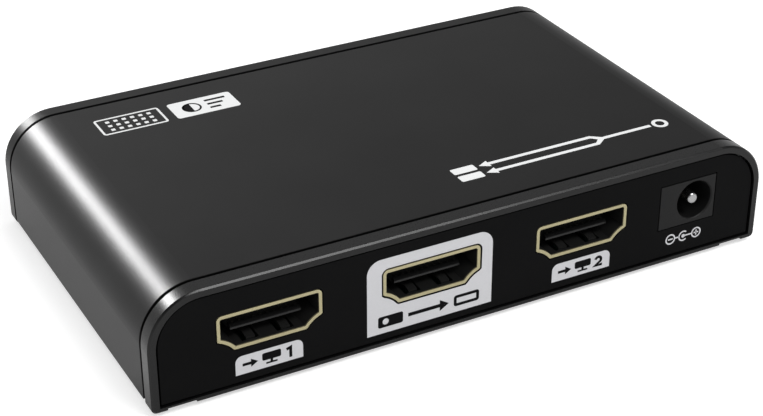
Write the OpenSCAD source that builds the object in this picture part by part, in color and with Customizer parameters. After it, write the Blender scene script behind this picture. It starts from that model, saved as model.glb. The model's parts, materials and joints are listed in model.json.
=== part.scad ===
// Video splitter box: one video input, two video outputs and a barrel power jack.
// Frame: the box stands on Z = 0, the port face looks along -Y and output 1 lies towards -X.

/* [Body] */
// Width across the top cover
body_w = 96; // [94:0.5:130]
// Length from the port face to the indicator face
body_d = 58; // [56:0.5:90]
// Height of the bezels, from their bottom edge to the top
body_h = 16.8; // [16:0.1:24]
// Outer radius of the two top corners
corner_r = 7.6; // [5:0.1:8]
// Outer radius of the bezels' bottom corners
base_r = 0.8; // [0.6:0.1:1.2]
// How far the feet stand below the bezels
foot_proud = 0.6; // [0.3:0.1:1.5]

/* [Top cover] */
// Wall of the top cover
cover_wall = 1.2; // [0.8:0.1:1.5]
// Height of the cover's lower edge above the bezels' bottom edge
cover_rise = 0.8; // [0.5:0.1:1.2]
// Width of the lips that hook under the base plate
lip_w = 1.1; // [0.6:0.1:1.4]
// Thickness of those lips
lip_t = 0.8; // [0.5:0.1:1]
// Open seam between the cover and each bezel
seam_w = 0.6; // [0.1:0.05:0.8]
// Clearance of the pieces that sit inside the cover
cover_fit = 0.15; // [0.1:0.05:0.25]

/* [Bezels] */
// Depth of a bezel's visible rim
rim_depth = 2.4; // [2:0.1:4]
// Width of the rim round the fascia
rim_w = 1.1; // [1:0.1:1.8]
// Height of the bar under the fascia
bar_h = 0.75; // [0.6:0.05:1.2]
// Edge break round the rim's front edge
edge_break = 0.25; // [0.1:0.05:0.45]
// Width of the ledge behind the fascia
ledge_w = 1; // [0.7:0.1:1.5]
// How far a spigot reaches into the cover
spigot_len = 3.5; // [2:0.5:6]
// Width of the two notches in the bottom bar
notch_w = 4.1; // [2:0.1:6]
// Depth of those notches
notch_d = 0.45; // [0.2:0.05:0.6]
// Distance from the bezel's side to the middle of a notch
notch_in = 4.25; // [4:0.05:8]
// Radius of a screw boss
boss_r = 2.3; // [1.8:0.1:2.8]
// Height of a screw boss above the base plate
boss_h = 6.5; // [6:0.5:8]

/* [Fascias] */
// Thickness of the two fascias
fascia_t = 1.5; // [1:0.1:1.8]
// How far the fascias sit back from the rim's front
fascia_set = 0.25; // [0.05:0.05:0.4]
// Clearance round a fascia in its pocket
fascia_fit = 0.3; // [0.05:0.05:0.4]
// Clearance of the cut-outs round the sockets and lenses
cut_fit = 0.15; // [0.1:0.05:0.4]

/* [Base] */
// Thickness of the base plate
plate_t = 0.8; // [0.6:0.1:1.2]
// Gap between the plate's ends and the bezel rims
plate_gap = 0.2; // [0.1:0.05:0.5]
// Radius of a rubber foot
foot_r = 4; // [3:0.25:6]
// Chamfer round the foot's lower edge
foot_chamfer = 0.4; // [0.1:0.1:0.8]
// Distance of a foot's centre from the side of the box
foot_in_x = 18; // [14:0.5:24]
// Distance of a foot's centre from the end of the box
foot_in_y = 9.75; // [9:0.25:16]

/* [Screws] */
// Radius of the screw shanks
screw_r = 1; // [0.8:0.05:1.2]
// Radius of the screw heads
head_r = 1.75; // [1.5:0.05:2]
// Height of the screw heads
head_h = 1.1; // [0.8:0.1:1.2]
// Length of a base screw under its head
base_screw_len = 5.5; // [4:0.5:6]
// Length of a board screw under its head
board_screw_len = 3.2; // [2.4:0.1:3.8]
// Width of the cross recess in the heads
recess_w = 0.5; // [0.3:0.05:0.7]
// Length of the cross recess
recess_l = 2; // [1.4:0.1:2.4]
// Depth of the cross recess
recess_d = 0.7; // [0.4:0.1:0.8]
// Clearance of a shank in its threaded hole
thread_fit = 0.05; // [0.02:0.01:0.1]
// Clearance of a shank through a plate
shank_fit = 0.2; // [0.1:0.05:0.4]
// Gap between a base screw's head and the cover's lip
head_gap = 0.25; // [0.1:0.05:0.5]

/* [Board] */
// Thickness of the main board
board_t = 1.6; // [1:0.2:2]
// Gap between the board's sides and the screw bosses
board_gap = 0.6; // [0.3:0.1:1.2]
// Distance of the board's ends from the end faces
board_set = 2.6; // [2.5:0.1:4]
// Height of the standoffs under the board
standoff_h = 1.65; // [1.4:0.05:3]
// Radius of a standoff
standoff_r = 2.5; // [2:0.1:3]
// Radius of the swaged spigot that holds a standoff in the plate
swage_r = 1.6; // [1.4:0.1:1.8]
// Distance of a standoff's centre from the board's edges
standoff_in = 4.6; // [4.5:0.1:5.5]
// Thickness of the insulating sheet
sheet_t = 0.2; // [0.1:0.05:0.4]
// How far the sheet stays inside the board's outline
sheet_in = 1; // [0.5:0.1:1.3]
// How far soldered pins reach below the board
tail_out = 0.7; // [0.4:0.1:0.9]
// Clearance of soldered pins in the board
tail_fit = 0.2; // [0.1:0.05:0.3]

/* [Video ports] */
// Distance from the box's side to the middle of the first receptacle
port_in = 17; // [16:0.5:22]
// Inside width of a receptacle
port_open_w = 14; // [13.6:0.1:14.4]
// Inside height of a receptacle
port_open_h = 4.6; // [4.4:0.05:5]
// Height of the straight part of its sides, inside
port_side_h = 3.05; // [2.8:0.05:3.4]
// Inside width of its floor
port_base_w = 9.9; // [9.4:0.1:10.4]
// Inside radius of its upper corners
port_corner_r = 0.3; // [0.1:0.05:0.6]
// Radius of the hollow flanks between its sides and its floor
flank_r = 4.8; // [4:0.1:8]
// Wall of the receptacle's metal shell
port_wall = 0.5; // [0.4:0.05:0.6]
// Length of the shell
port_len = 11.5; // [10.5:0.25:13]
// Gap between the shell's underside and the board
port_lift = 0.6; // [0.3:0.05:0.8]
// Width of a solder leg
leg_w = 1.2; // [0.8:0.1:1.6]
// Distance of the front pair of legs behind the shell's mouth
leg_front = 4; // [3.5:0.25:5]
// Distance of the rear pair of legs behind the shell's mouth
leg_rear = 9.5; // [8:0.25:10]
// Clearance of the insulator in the shell
insulator_fit = 0.05; // [0.03:0.01:0.1]
// Length of the insulator's plug inside the shell
plug_len = 3.2; // [2.5:0.1:3.4]
// Thickness of the insulator's back
back_t = 1; // [0.6:0.1:1.5]
// Width of the tongue
tongue_w = 10.1; // [9.8:0.1:10.6]
// Thickness of the tongue
tongue_t = 1; // [0.8:0.05:1.2]
// Height of the tongue's middle plane above the receptacle's floor
tongue_z = 1.9; // [1.7:0.05:2.2]
// Distance of the tongue's tip behind the shell's mouth
tongue_set = 1.5; // [1:0.1:2.5]
// Edge break at the tongue's tip, above and below
tip_break = 0.3; // [0.1:0.05:0.4]
// Length of that break along the tongue
tip_run = 0.4; // [0.2:0.05:0.45]

/* [Port contacts] */
// Number of contacts in the upper row
upper_contacts = 10; // [8:1:10]
// Spacing of the contacts in a row
contact_pitch = 1; // [0.9:0.05:1]
// Width of a contact
contact_w = 0.3; // [0.2:0.02:0.36]
// Thickness of a contact
contact_t = 0.14; // [0.1:0.02:0.2]
// Distance of a contact's end behind the tongue's tip
contact_set = 0.5; // [0.3:0.1:1]
// Length of a contact's solder foot
contact_foot = 1; // [0.6:0.1:1.4]
// Clearance of a contact in its channel
contact_fit = 0.04; // [0.02:0.01:0.06]

/* [Port springs] */
// Distance of a spring finger from the receptacle's middle
spring_x = 2.5; // [2.2:0.1:3]
// Width of a spring finger
spring_w = 1.3; // [1:0.1:1.5]
// Slit on each side of a finger
spring_slit = 0.55; // [0.3:0.05:0.6]
// Thickness of a finger
spring_t = 0.3; // [0.2:0.05:0.35]
// How far a finger's crest stands inside the opening
spring_rise = 0.45; // [0.3:0.05:0.5]
// Distance of a finger's tip behind the shell's mouth
spring_tip = 0.9; // [0.8:0.1:1.2]
// Distance of a finger's crest behind the shell's mouth
spring_crest = 2.1; // [1.9:0.1:3]
// Distance of a finger's root behind the shell's mouth
spring_root = 7.5; // [6.5:0.1:7.6]
// Running clearance round a finger's root and tip
spring_fit = 0.1; // [0.05:0.01:0.15]

/* [Power jack] */
// Distance from the box's other side to the middle of the jack
jack_in = 12.85; // [12.5:0.05:16]
// Gap between the last receptacle and the jack
jack_gap = 5.85; // [3:0.05:8]
// Width of the housing
jack_w = 9.6; // [9.5:0.1:10.2]
// Height of the housing above the board
jack_h = 7; // [7:0.1:8]
// Length of the housing
jack_len = 13.5; // [12.5:0.25:15]
// Radius of the plug bore
bore_r = 2.95; // [2.9:0.05:3.2]
// Depth of the plug bore
bore_depth = 9.5; // [8.5:0.25:10]
// Edge break round the bore's mouth
bore_break = 0.2; // [0.1:0.05:0.3]
// Sideways offset of the bore in the housing
bore_x = 1.25; // [1:0.05:1.4]
// Height of the bore's axis above the board
bore_z = 3.55; // [3.5:0.05:3.8]
// Radius of the centre pin
pin_r = 0.85; // [0.8:0.05:1.25]
// Distance of the pin's tip behind the housing's face
pin_set = 0.35; // [0.2:0.05:2]
// Edge break at the pin's tip
pin_break = 0.2; // [0.2:0.05:0.6]
// Radius of the pin's root in the housing's back wall
pin_root_r = 1.4; // [1.3:0.05:1.6]
// Clearance of that root in the back wall
pin_fit = 0.05; // [0.02:0.01:0.1]
// Thickness of the jack's solder tails
jack_tail_t = 0.5; // [0.3:0.05:0.8]
// Width of the jack's solder tails
jack_tail_w = 1.6; // [1.2:0.1:2]

/* [Power jack leaf] */
// Height of the leaf
leaf_h = 1.8; // [1.4:0.1:2]
// Thickness of the leaf
leaf_t = 0.3; // [0.2:0.05:0.35]
// How far the leaf's crest stands inside the bore
leaf_rise = 0.7; // [0.55:0.05:0.8]
// Distance of the leaf's tip behind the housing's face
leaf_tip = 2.4; // [2.2:0.1:3]
// Distance of the leaf's crest behind the housing's face
leaf_crest = 4; // [3.6:0.1:5]
// Radius of the eye that the leaf turns on
eye_r = 0.4; // [0.35:0.05:0.5]
// Running clearance round the eye
eye_fit = 0.05; // [0.03:0.01:0.1]
// Distance from the housing's rear to the eye's axis
eye_in = 1.2; // [1:0.1:1.5]
// Distance of the eye's axis from the edge of the bore
eye_out = 1.15; // [1.1:0.05:1.3]
// Width of the leaf's slot beside the bore
slot_w = 2; // [1.9:0.05:2.2]
// Clearance above and below the leaf in its slot
slot_fit = 0.2; // [0.1:0.05:0.3]
// Thickness of the slot's front wall
slot_wall = 1.6; // [1.2:0.1:1.8]

/* [Indicators] */
// Number of status lenses
led_count = 4; // [2:1:5]
// Spacing of the lenses
led_pitch = 10; // [6:0.5:12]
// Radius of a lens
led_r = 1.5; // [1:0.1:2]
// Length of a lens with its flange
led_len = 5.3; // [4.5:0.1:6]
// Radius of the lens flange
flange_r = 1.9; // [1.7:0.1:2.6]
// Thickness of the lens flange
flange_t = 1; // [0.6:0.1:1.4]
// Height of the lens axis above the board
led_lift = 3.4; // [2.8:0.1:5]
// Spacing of a lens's two leads
lead_pitch = 2.54; // [1.8:0.02:3]
// Side of a square lead
lead_w = 0.5; // [0.4:0.05:0.6]
// Distance from the lens to its leads' bend
lead_reach = 1.6; // [1:0.1:2.5]

/* [Board parts] */
// Side of the splitter chip
chip_w = 10; // [7:0.5:12]
// Height of the splitter chip
chip_h = 0.9; // [0.7:0.05:1.4]
// Distance of the chip's middle behind the port face
chip_back = 30; // [29:0.5:31]
// Thickness of the thermal pad
pad_t = 0.5; // [0.3:0.05:0.8]
// Side of the heat sink
sink_w = 19; // [16:0.5:20]
// Height of the heat sink
sink_h = 6; // [4:0.25:7]
// Thickness of the heat sink's base
sink_base = 1.5; // [1:0.1:2]
// Number of fins
fin_count = 8; // [5:1:9]
// Thickness of a fin
fin_t = 0.9; // [0.6:0.1:1]
// Side of a power inductor
coil_w = 5.4; // [4:0.1:6]
// Height of a power inductor
coil_h = 3; // [2:0.1:4]
// Chamfer of a power inductor's corners
coil_chamfer = 1.1; // [0.5:0.1:1.4]
// Radius of the dish in a power inductor's top
coil_dish_r = 1.8; // [1:0.1:2]
// Depth of that dish
coil_dish_d = 0.3; // [0.1:0.1:0.6]
// Radius of a bulk capacitor's can
can_r = 2.5; // [2:0.1:3]
// Height of a bulk capacitor's can
can_h = 5.4; // [4:0.1:6.5]
// Thickness of a bulk capacitor's base
can_base = 0.8; // [0.5:0.1:1.2]
// How far that base stands out round the can
can_rim = 0.15; // [0.1:0.05:0.3]
// Chamfer of the base's corners
can_chamfer = 1; // [0.5:0.1:1.4]
// Length of a regulator's body
reg_w = 6.5; // [6:0.1:7]
// Depth of a regulator's body
reg_d = 3.5; // [3:0.1:4]
// Height of a regulator's body
reg_h = 1.6; // [1.2:0.1:2]
// Thickness of a regulator's tab and leads
reg_lead_t = 0.3; // [0.2:0.05:0.4]
// Length of a regulator's tab and leads
reg_lead_l = 1.6; // [1.2:0.1:2]
// Width of a regulator's tab
reg_tab_w = 3; // [2.5:0.1:3.5]
// Width of a regulator's lead
reg_lead_w = 0.7; // [0.5:0.05:0.9]
// Spacing of a regulator's leads
reg_pitch = 2.3; // [1.8:0.1:2.5]
// Distance of the outer power parts from the board's side
power_in = 8.5; // [8.5:0.1:10]
// Spacing of the two columns of power parts
power_step = 9.5; // [9:0.1:11]
// Distance of the regulators behind the port face
reg_back = 24.5; // [24:0.1:25.5]
// Distance of the power inductors behind the port face
coil_back = 32; // [31.5:0.1:33]
// Distance of the bulk capacitors behind the port face
can_back = 40.5; // [39:0.1:42]
// Length of the protection diode
diode_w = 4.4; // [3.5:0.1:5]
// Depth of the protection diode
diode_d = 2.6; // [2:0.1:3]
// Height of the protection diode
diode_h = 2.1; // [1.5:0.1:2.5]
// Distance of the diode from the board's side
diode_in = 15.3; // [15:0.1:16]
// Distance of the diode behind the port face
diode_back = 17.5; // [17:0.1:18.5]
// Length of the clock crystal
crystal_w = 5; // [3:0.1:6]
// Depth of the clock crystal
crystal_d = 3.2; // [2:0.1:4]
// Height of the clock crystal
crystal_h = 1.2; // [0.7:0.1:2]
// Gap between the clock crystal and the heat sink
crystal_gap = 6; // [1:0.5:8]
// Length of a surge array
surge_w = 2.5; // [2:0.1:3]
// Depth of a surge array
surge_d = 1.2; // [0.8:0.1:1.6]
// Height of a surge array
surge_h = 0.6; // [0.4:0.05:0.8]
// Distance of the surge arrays behind the contacts' solder feet
surge_back = 2; // [1:0.1:3]
// Spacing of a receptacle's two surge arrays
surge_pitch = 4; // [3.2:0.1:5]
// Length of a chip passive
chip_l = 1.6; // [1:0.1:2]
// Width of a chip passive
chip_d = 0.8; // [0.5:0.1:1]
// Height of a chip passive
chip_t = 0.5; // [0.3:0.05:0.8]
// Number of chip passives in a row
passive_count = 9; // [3:1:12]
// Spacing of the chip passives in a row
passive_pitch = 3.6; // [2.4:0.1:4]
// Distance of the first row of chip passives behind the port face
passive_back = 42.5; // [41.5:0.1:43]
// Spacing of the two rows of chip passives
passive_step = 3; // [1.5:0.1:4]

/* [Hidden] */
$fn = 64;

// How far a cutting shape runs past the face that it cuts
over = 1;
// The same, for the small edge break cutter
edge_over = 0.1;

// Levels, upwards from the surface that the feet stand on
bezel_z = foot_proud;
top_z = bezel_z + body_h;
cover_z = bezel_z + cover_rise;
plate_z = cover_z + lip_t;
plate_top = plate_z + plate_t;
board_z = plate_top + standoff_h;
board_top = board_z + board_t;
port_z = board_top + port_lift + port_wall;
led_z = board_top + led_lift;

// Half widths, from the middle of the box outwards
board_y = body_d / 2 - board_set;
pocket_half = body_w / 2 - rim_w;
window_half = pocket_half - ledge_w;
cover_in = body_w / 2 - cover_wall;
spigot_half = cover_in - cover_fit;
lip_in = cover_in - lip_w;
boss_x = lip_in - head_r - head_gap;
board_half = boss_x - boss_r - board_gap;
standoff_x = board_half - standoff_in;

// Places across the box: the receptacles are spread evenly from the first one to the jack
port_half = port_open_w / 2 + port_wall;
jack_x = body_w / 2 - jack_in;
port_first = port_in - body_w / 2;
port_last = jack_x - jack_w / 2 - jack_gap - port_half;
port_pitch = (port_last - port_first) / 2;
port_middle = port_first + port_pitch;

// Depths behind the end faces
pocket_d = fascia_set + fascia_t;
spigot_end = rim_depth + seam_w + spigot_len;
boss_back = rim_depth + seam_w + spigot_len / 2;

// Heights of the fascia's pocket and of the window behind it
pocket_z = bezel_z + bar_h;
pocket_top = top_z - rim_w;
window_z = pocket_z + ledge_w;
window_top = pocket_top - ledge_w;

// Screw bosses: the pilot hole's spare depth and the web that ties a boss to the spigot
pilot_spare = 0.3;
web_t = 1.6;
web_sink = 0.4;

// Places of the standoffs, kept clear of the jack in front
standoff_gap = 1.5;
standoff_front = -body_d / 2 + fascia_set + jack_len + jack_tail_t + standoff_gap + standoff_r;
STANDOFFS = [
    for (x = [-standoff_x, standoff_x], y = [standoff_front, board_y - standoff_in]) [x, y]
];
FEET = [
    for (x = [-1, 1], y = [-1, 1]) [x * (body_w / 2 - foot_in_x), y * (body_d / 2 - foot_in_y)]
];
BOSSES = [for (x = [-1, 1], y = [-1, 1]) [x * boss_x, y * (body_d / 2 - boss_back)]];

// Receptacle outline: slope of its flanks, and the centre of the circle that hollows them
flank_run = (port_open_w - port_base_w) / 2;
flank_drop = port_open_h - port_side_h;
flank_slope = atan2(flank_drop, flank_run);
flank_chord = norm([flank_run, flank_drop]);
flank_reach = sqrt(flank_r * flank_r - flank_chord * flank_chord / 4);
flank_x = port_open_w / 2 - flank_run / 2 + flank_reach * sin(flank_slope);
flank_z = flank_drop / 2 - flank_reach * cos(flank_slope);
flank_join = 1;

// Depths behind the receptacle's mouth
plug_y = port_len - plug_len;
port_rear = port_len + back_t;
board_drop = port_lift + port_wall;
spring_eye_r = port_wall / 2;
crest_l = 0.5;
tip_drop = 0.2;

// Power jack leaf: edge of the bore, and the leaf's slot and eye beside it
bore_edge = bore_x - bore_r;
eye_x = bore_edge - eye_out;
eye_y = jack_len - eye_in;
slot_x = bore_edge - slot_w;
slot_h = leaf_h + 2 * slot_fit;
leaf_tip_x = bore_edge - leaf_t;
leaf_crest_x = bore_edge + leaf_rise;
leaf_crest_l = 0.6;
terminal_w = slot_w - 2 * slot_fit;
eye_mouth = 0.35;

// Places of the board parts: across the box, and behind the port face
POWER = [board_half - power_in - power_step, board_half - power_in];
REGULATORS = [for (x = POWER) [x, reg_back]];
INDUCTORS = [for (x = POWER) [x, coil_back]];
CAPACITORS = [for (x = POWER) [x, can_back]];
diode_size = [diode_w, diode_d, diode_h];
DIODE = [board_half - diode_in, diode_back];
crystal_size = [crystal_w, crystal_d, crystal_h];
CRYSTAL = [port_middle - sink_w / 2 - crystal_gap - crystal_w / 2, chip_back];
passive_rows = [passive_back, passive_back + passive_step];

function port_at(i) = port_first + i * port_pitch;

// Copies the children along Y, from a flat outline drawn in X and Z
module along_y(from, length)
    translate([0, from + length, 0])
        rotate([90, 0, 0])
            linear_extrude(length) children();

// Extrudes a flat outline drawn in Y and Z along X
module along_x(from, length)
    translate([from, 0, 0])
        rotate([90, 0, 90])
            linear_extrude(length) children();

// Moves the port end's frame, with Y = 0 on the port face, to its place
module port_end()
    translate([0, -body_d / 2, 0]) children();

// The same at the other end, turned to face the other way
module indicator_end()
    mirror([0, 1, 0]) port_end() children();

// Outline with round top corners and, if low_r is set, round bottom corners
module arch(w, h, top_r, low_r = 0) {
    translate([-w / 2, low_r]) square([w, h - top_r - low_r]);
    translate([top_r - w / 2, low_r]) square([w - 2 * top_r, h - low_r]);
    intersection() {
        translate([-w / 2 - over, low_r]) square([w + 2 * over, h - low_r + over]);
        for (side = [-1, 1])
            translate([side * (w / 2 - top_r), h - top_r]) circle(top_r);
    }
    if (low_r > 0) {
        translate([low_r - w / 2, 0]) square([w - 2 * low_r, h - top_r]);
        for (side = [-1, 1])
            translate([side * (w / 2 - low_r), low_r]) circle(low_r);
    }
}

// Box centred on X and Y, standing on Z = 0
module block(size)
    translate([-size.x / 2, -size.y / 2, 0]) cube(size);

// Square block with chamfered upright edges, standing on Z = 0
module chamfered_block(w, h, chamfer) {
    half = w / 2;
    inner = half - chamfer;
    linear_extrude(h)
        polygon([
            [half, -inner], [half, inner], [inner, half], [-inner, half],
            [-half, inner], [-half, -inner], [-inner, -half], [inner, -half]
        ]);
}

module top_cover() color("#3c3d40")
    along_y(-body_d / 2 + rim_depth + seam_w, body_d - 2 * (rim_depth + seam_w))
        difference() {
            translate([0, cover_z]) arch(body_w, top_z - cover_z, corner_r);
            translate([0, plate_z])
                arch(2 * cover_in, top_z - cover_wall - plate_z, corner_r - cover_wall);
            translate([-lip_in, cover_z - over]) square([2 * lip_in, lip_t + 2 * over]);
        }

module base_plate() color("#8a8c8e")
    difference() {
        translate([0, 0, plate_z])
            block([2 * spigot_half, body_d - 2 * (rim_depth + plate_gap), plate_t]);
        for (p = BOSSES)
            translate([p.x, p.y, plate_z - over]) cylinder(r = screw_r + shank_fit, h = plate_t + 2 * over);
        for (p = STANDOFFS)
            translate([p.x, p.y, plate_z - over]) cylinder(r = swage_r + thread_fit, h = plate_t + 2 * over);
    }

// Quarter ring that breaks the rim's front edge round one corner
module corner_break(x, z, r, start)
    translate([x, 0, z]) rotate([90, 0, 0]) rotate([0, 0, start]) rotate_extrude(angle = 90)
        polygon([
            [r - edge_break - edge_over, edge_over],
            [r + edge_over, edge_over],
            [r + edge_over, -edge_break - edge_over]
        ]);

// Everything that the edge break takes off the rim's front edge
module rim_break() {
    reach = edge_break + edge_over;
    for (side = [0, 1]) mirror([side, 0, 0]) {
        corner_break(body_w / 2 - corner_r, top_z - corner_r, corner_r, 0);
        corner_break(body_w / 2 - base_r, bezel_z + base_r, base_r, -90);
        translate([body_w / 2, 0, bezel_z + base_r])
            linear_extrude(body_h - corner_r - base_r)
                polygon([[-reach, -edge_over], [edge_over, -edge_over], [edge_over, reach]]);
    }
    along_x(corner_r - body_w / 2, body_w - 2 * corner_r) translate([0, top_z])
        polygon([[-edge_over, -reach], [reach, edge_over], [-edge_over, edge_over]]);
    along_x(base_r - body_w / 2, body_w - 2 * base_r) translate([0, bezel_z])
        polygon([[-edge_over, reach], [-edge_over, -edge_over], [reach, -edge_over]]);
}

// Rim and spigot, with the fascia's pocket, the window behind it and the notches below
module bezel_frame()
    difference() {
        union() {
            difference() {
                along_y(0, rim_depth) translate([0, bezel_z]) arch(body_w, body_h, corner_r, base_r);
                rim_break();
            }
            along_y(pocket_d, spigot_end - pocket_d) translate([0, plate_top])
                arch(2 * spigot_half, top_z - cover_wall - cover_fit - plate_top,
                    corner_r - cover_wall - cover_fit);
        }
        along_y(-over, over + pocket_d) translate([0, pocket_z])
            arch(2 * pocket_half, pocket_top - pocket_z, corner_r - rim_w);
        along_y(-over, over + spigot_end + over) translate([0, window_z])
            arch(2 * window_half, window_top - window_z, corner_r - rim_w - ledge_w);
        for (side = [-1, 1])
            translate([side * (body_w / 2 - notch_in), rim_depth / 2, bezel_z - over])
                block([notch_w, rim_depth + 2 * over, over + notch_d]);
    }

module bezel() color("#2e2f31")
    difference() {
        union() {
            bezel_frame();
            for (side = [0, 1]) mirror([side, 0, 0]) translate([boss_x, boss_back, plate_top]) {
                cylinder(r = boss_r, h = boss_h);
                translate([0, -web_t / 2, 0]) cube([window_half + web_sink - boss_x, web_t, boss_h]);
            }
        }
        for (side = [-1, 1])
            translate([side * boss_x, boss_back, plate_top - over])
                cylinder(r = screw_r + thread_fit, h = over + base_screw_len - plate_t + pilot_spare);
    }

module fascia_blank()
    along_y(fascia_set, fascia_t) translate([0, pocket_z + fascia_fit])
        arch(2 * (pocket_half - fascia_fit), pocket_top - pocket_z - 2 * fascia_fit,
            corner_r - rim_w - fascia_fit);

module port_fascia() color("#17181a")
    difference() {
        port_end() fascia_blank();
        for (i = [0 : 2])
            in_port(i) along_y(-over, fascia_t + 2 * over) port_outline(port_wall + cut_fit);
        in_jack() translate([0, fascia_t / 2, -cut_fit])
            block([jack_w + 2 * cut_fit, fascia_t + 2 * over, jack_h + 2 * cut_fit]);
    }

module indicator_fascia() color("#17181a")
    difference() {
        indicator_end() fascia_blank();
        for (i = [0 : led_count - 1])
            in_led(i) translate([0, -over, 0]) rotate([-90, 0, 0])
                cylinder(r = led_r + cut_fit, h = fascia_t + 2 * over);
    }

module rubber_feet() color("#232323")
    for (p = FEET)
        translate([p.x, p.y, 0]) rotate_extrude()
            polygon([
                [0, 0], [foot_r - foot_chamfer, 0], [foot_r, foot_chamfer], [foot_r, plate_z], [0, plate_z]
            ]);

// Pan head screw, its shank along +Z and its head below Z = 0
module screw(length)
    difference() {
        union() {
            translate([0, 0, -head_h]) cylinder(r = head_r, h = head_h);
            cylinder(r = screw_r, h = length);
        }
        for (turn = [0, 90])
            rotate([0, 0, turn]) translate([0, 0, -head_h - over])
                block([recess_l, recess_w, over + recess_d]);
    }

module base_screws() color("#b9bbbd")
    for (p = BOSSES)
        translate([p.x, p.y, plate_z]) screw(base_screw_len);

module board_screws() color("#b9bbbd")
    for (p = STANDOFFS)
        translate([p.x, p.y, board_top]) mirror([0, 0, 1]) screw(board_screw_len);

module board_standoffs() color("#c9b26a")
    for (p = STANDOFFS)
        translate([p.x, p.y, 0]) difference() {
            union() {
                translate([0, 0, plate_top]) cylinder(r = standoff_r, h = standoff_h);
                translate([0, 0, plate_z]) cylinder(r = swage_r, h = plate_t + standoff_h);
            }
            translate([0, 0, plate_z - over])
                cylinder(r = screw_r + thread_fit, h = plate_t + standoff_h + 2 * over);
        }

module insulating_sheet() color("#d8cfa0")
    difference() {
        translate([0, 0, plate_top]) block([2 * (board_half - sheet_in), 2 * (board_y - sheet_in), sheet_t]);
        for (p = STANDOFFS)
            translate([p.x, p.y, plate_top - over])
                cylinder(r = standoff_r + tail_fit, h = sheet_t + 2 * over);
    }

module main_board() color("#1d5b3c")
    difference() {
        translate([0, 0, board_z]) block([2 * board_half, 2 * board_y, board_t]);
        for (p = STANDOFFS)
            translate([p.x, p.y, board_z - over]) cylinder(r = screw_r + shank_fit, h = board_t + 2 * over);
        for (i = [0 : 2]) in_port(i) shell_legs(tail_fit);
        in_jack() {
            pin_tail(tail_fit);
            terminal_tail(tail_fit);
        }
        for (i = [0 : led_count - 1]) in_led(i) lead_drops(tail_fit);
    }

// Frame of a receptacle: X from its middle, Y from its mouth, Z from its floor
module in_port(i)
    port_end() translate([port_at(i), fascia_set, port_z]) children();

// Outline of the receptacle's opening, moved outwards by grow on every side
module port_outline(grow) {
    half = port_open_w / 2 + grow;
    low = flank_drop - grow * tan(45 - flank_slope / 2);
    base = port_base_w / 2 + grow * tan(flank_slope / 2);
    difference() {
        union() {
            translate([0, low]) arch(2 * half, port_open_h + grow - low, port_corner_r + grow);
            polygon([
                [-half, low], [-base, -grow], [base, -grow], [half, low],
                [half - flank_join, low + flank_join], [flank_join - half, low + flank_join]
            ]);
        }
        for (side = [-1, 1])
            translate([side * flank_x, flank_z]) circle(flank_r - grow);
    }
}

// The four legs of a receptacle's shell, or with a fit their slots in the board
module shell_legs(fit = 0)
    for (x = [-1, 1], y = [leg_front, leg_rear])
        translate([x * (port_open_w + port_wall) / 2, y, -board_drop - board_t - tail_out - fit])
            block([port_wall + 2 * fit, leg_w + 2 * fit, board_drop + board_t + tail_out + flank_drop]);

// Windows in one wall of the shell round its two spring fingers
module spring_windows() {
    front = spring_tip - spring_fit;
    rear = spring_root + spring_eye_r + spring_fit;
    for (x = [-spring_x, spring_x])
        translate([x, (front + rear) / 2, -port_wall - over])
            block([spring_w + 2 * spring_slit, rear - front, port_wall + over + port_wall / 2]);
}

module port_shell(i) color("#b5aa84")
    in_port(i) difference() {
        union() {
            along_y(0, port_len) difference() {
                port_outline(port_wall);
                port_outline(0);
            }
            shell_legs();
        }
        spring_windows();
        translate([0, 0, port_open_h]) mirror([0, 0, 1]) spring_windows();
    }

// Two spring fingers of the floor, each with a round root in the plane of the wall
module spring_pair()
    for (x = [-spring_x, spring_x]) along_x(x - spring_w / 2, spring_w) {
        translate([spring_root, -spring_eye_r]) circle(spring_eye_r);
        polygon([
            [spring_root, spring_t / 2 - spring_eye_r],
            [spring_crest + crest_l / 2, spring_rise],
            [spring_crest - crest_l / 2, spring_rise],
            [spring_tip, spring_rise - tip_drop],
            [spring_tip, spring_rise - tip_drop - spring_t],
            [spring_crest - crest_l / 2, spring_rise - spring_t],
            [spring_crest + crest_l / 2, spring_rise - spring_t],
            [spring_root, -spring_t / 2 - spring_eye_r]
        ]);
    }

module lower_springs(i) color("#a99d76")
    in_port(i) spring_pair();

module upper_springs(i) color("#a99d76")
    in_port(i) translate([0, 0, port_open_h]) mirror([0, 0, 1]) spring_pair();

// Places the children at each contact, with its height on the tongue
module each_contact() {
    for (k = [0 : upper_contacts - 1])
        translate([(k - (upper_contacts - 1) / 2) * contact_pitch, 0, 0])
            children(0);
    for (k = [0 : upper_contacts - 2])
        translate([(k - (upper_contacts - 2) / 2) * contact_pitch, 0, 0])
            children(1);
}

// One contact, from the tongue through the insulator's back and down to its solder foot
module contact(z)
    along_x(-contact_w / 2, contact_w)
        polygon([
            [tongue_set + contact_set, z],
            [port_rear, z],
            [port_rear, -board_drop],
            [port_rear + contact_foot, -board_drop],
            [port_rear + contact_foot, contact_t - board_drop],
            [port_rear + contact_t, contact_t - board_drop],
            [port_rear + contact_t, z + contact_t],
            [tongue_set + contact_set, z + contact_t]
        ]);

// Channel for one contact through the insulator's plug and back
module contact_channel(z)
    translate([0, (plug_y + port_rear) / 2, z - contact_fit])
        block([
            contact_w + 2 * contact_fit,
            port_rear - plug_y + 2 * contact_fit,
            contact_t + 2 * contact_fit
        ]);

// The tongue, with its tip broken so that a plug slides on to it
module port_tongue() {
    low = tongue_z - tongue_t / 2;
    high = tongue_z + tongue_t / 2;
    along_x(-tongue_w / 2, tongue_w)
        polygon([
            [tongue_set, low + tip_break],
            [tongue_set + tip_run, low],
            [port_len, low],
            [port_len, high],
            [tongue_set + tip_run, high],
            [tongue_set, high - tip_break]
        ]);
}

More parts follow.
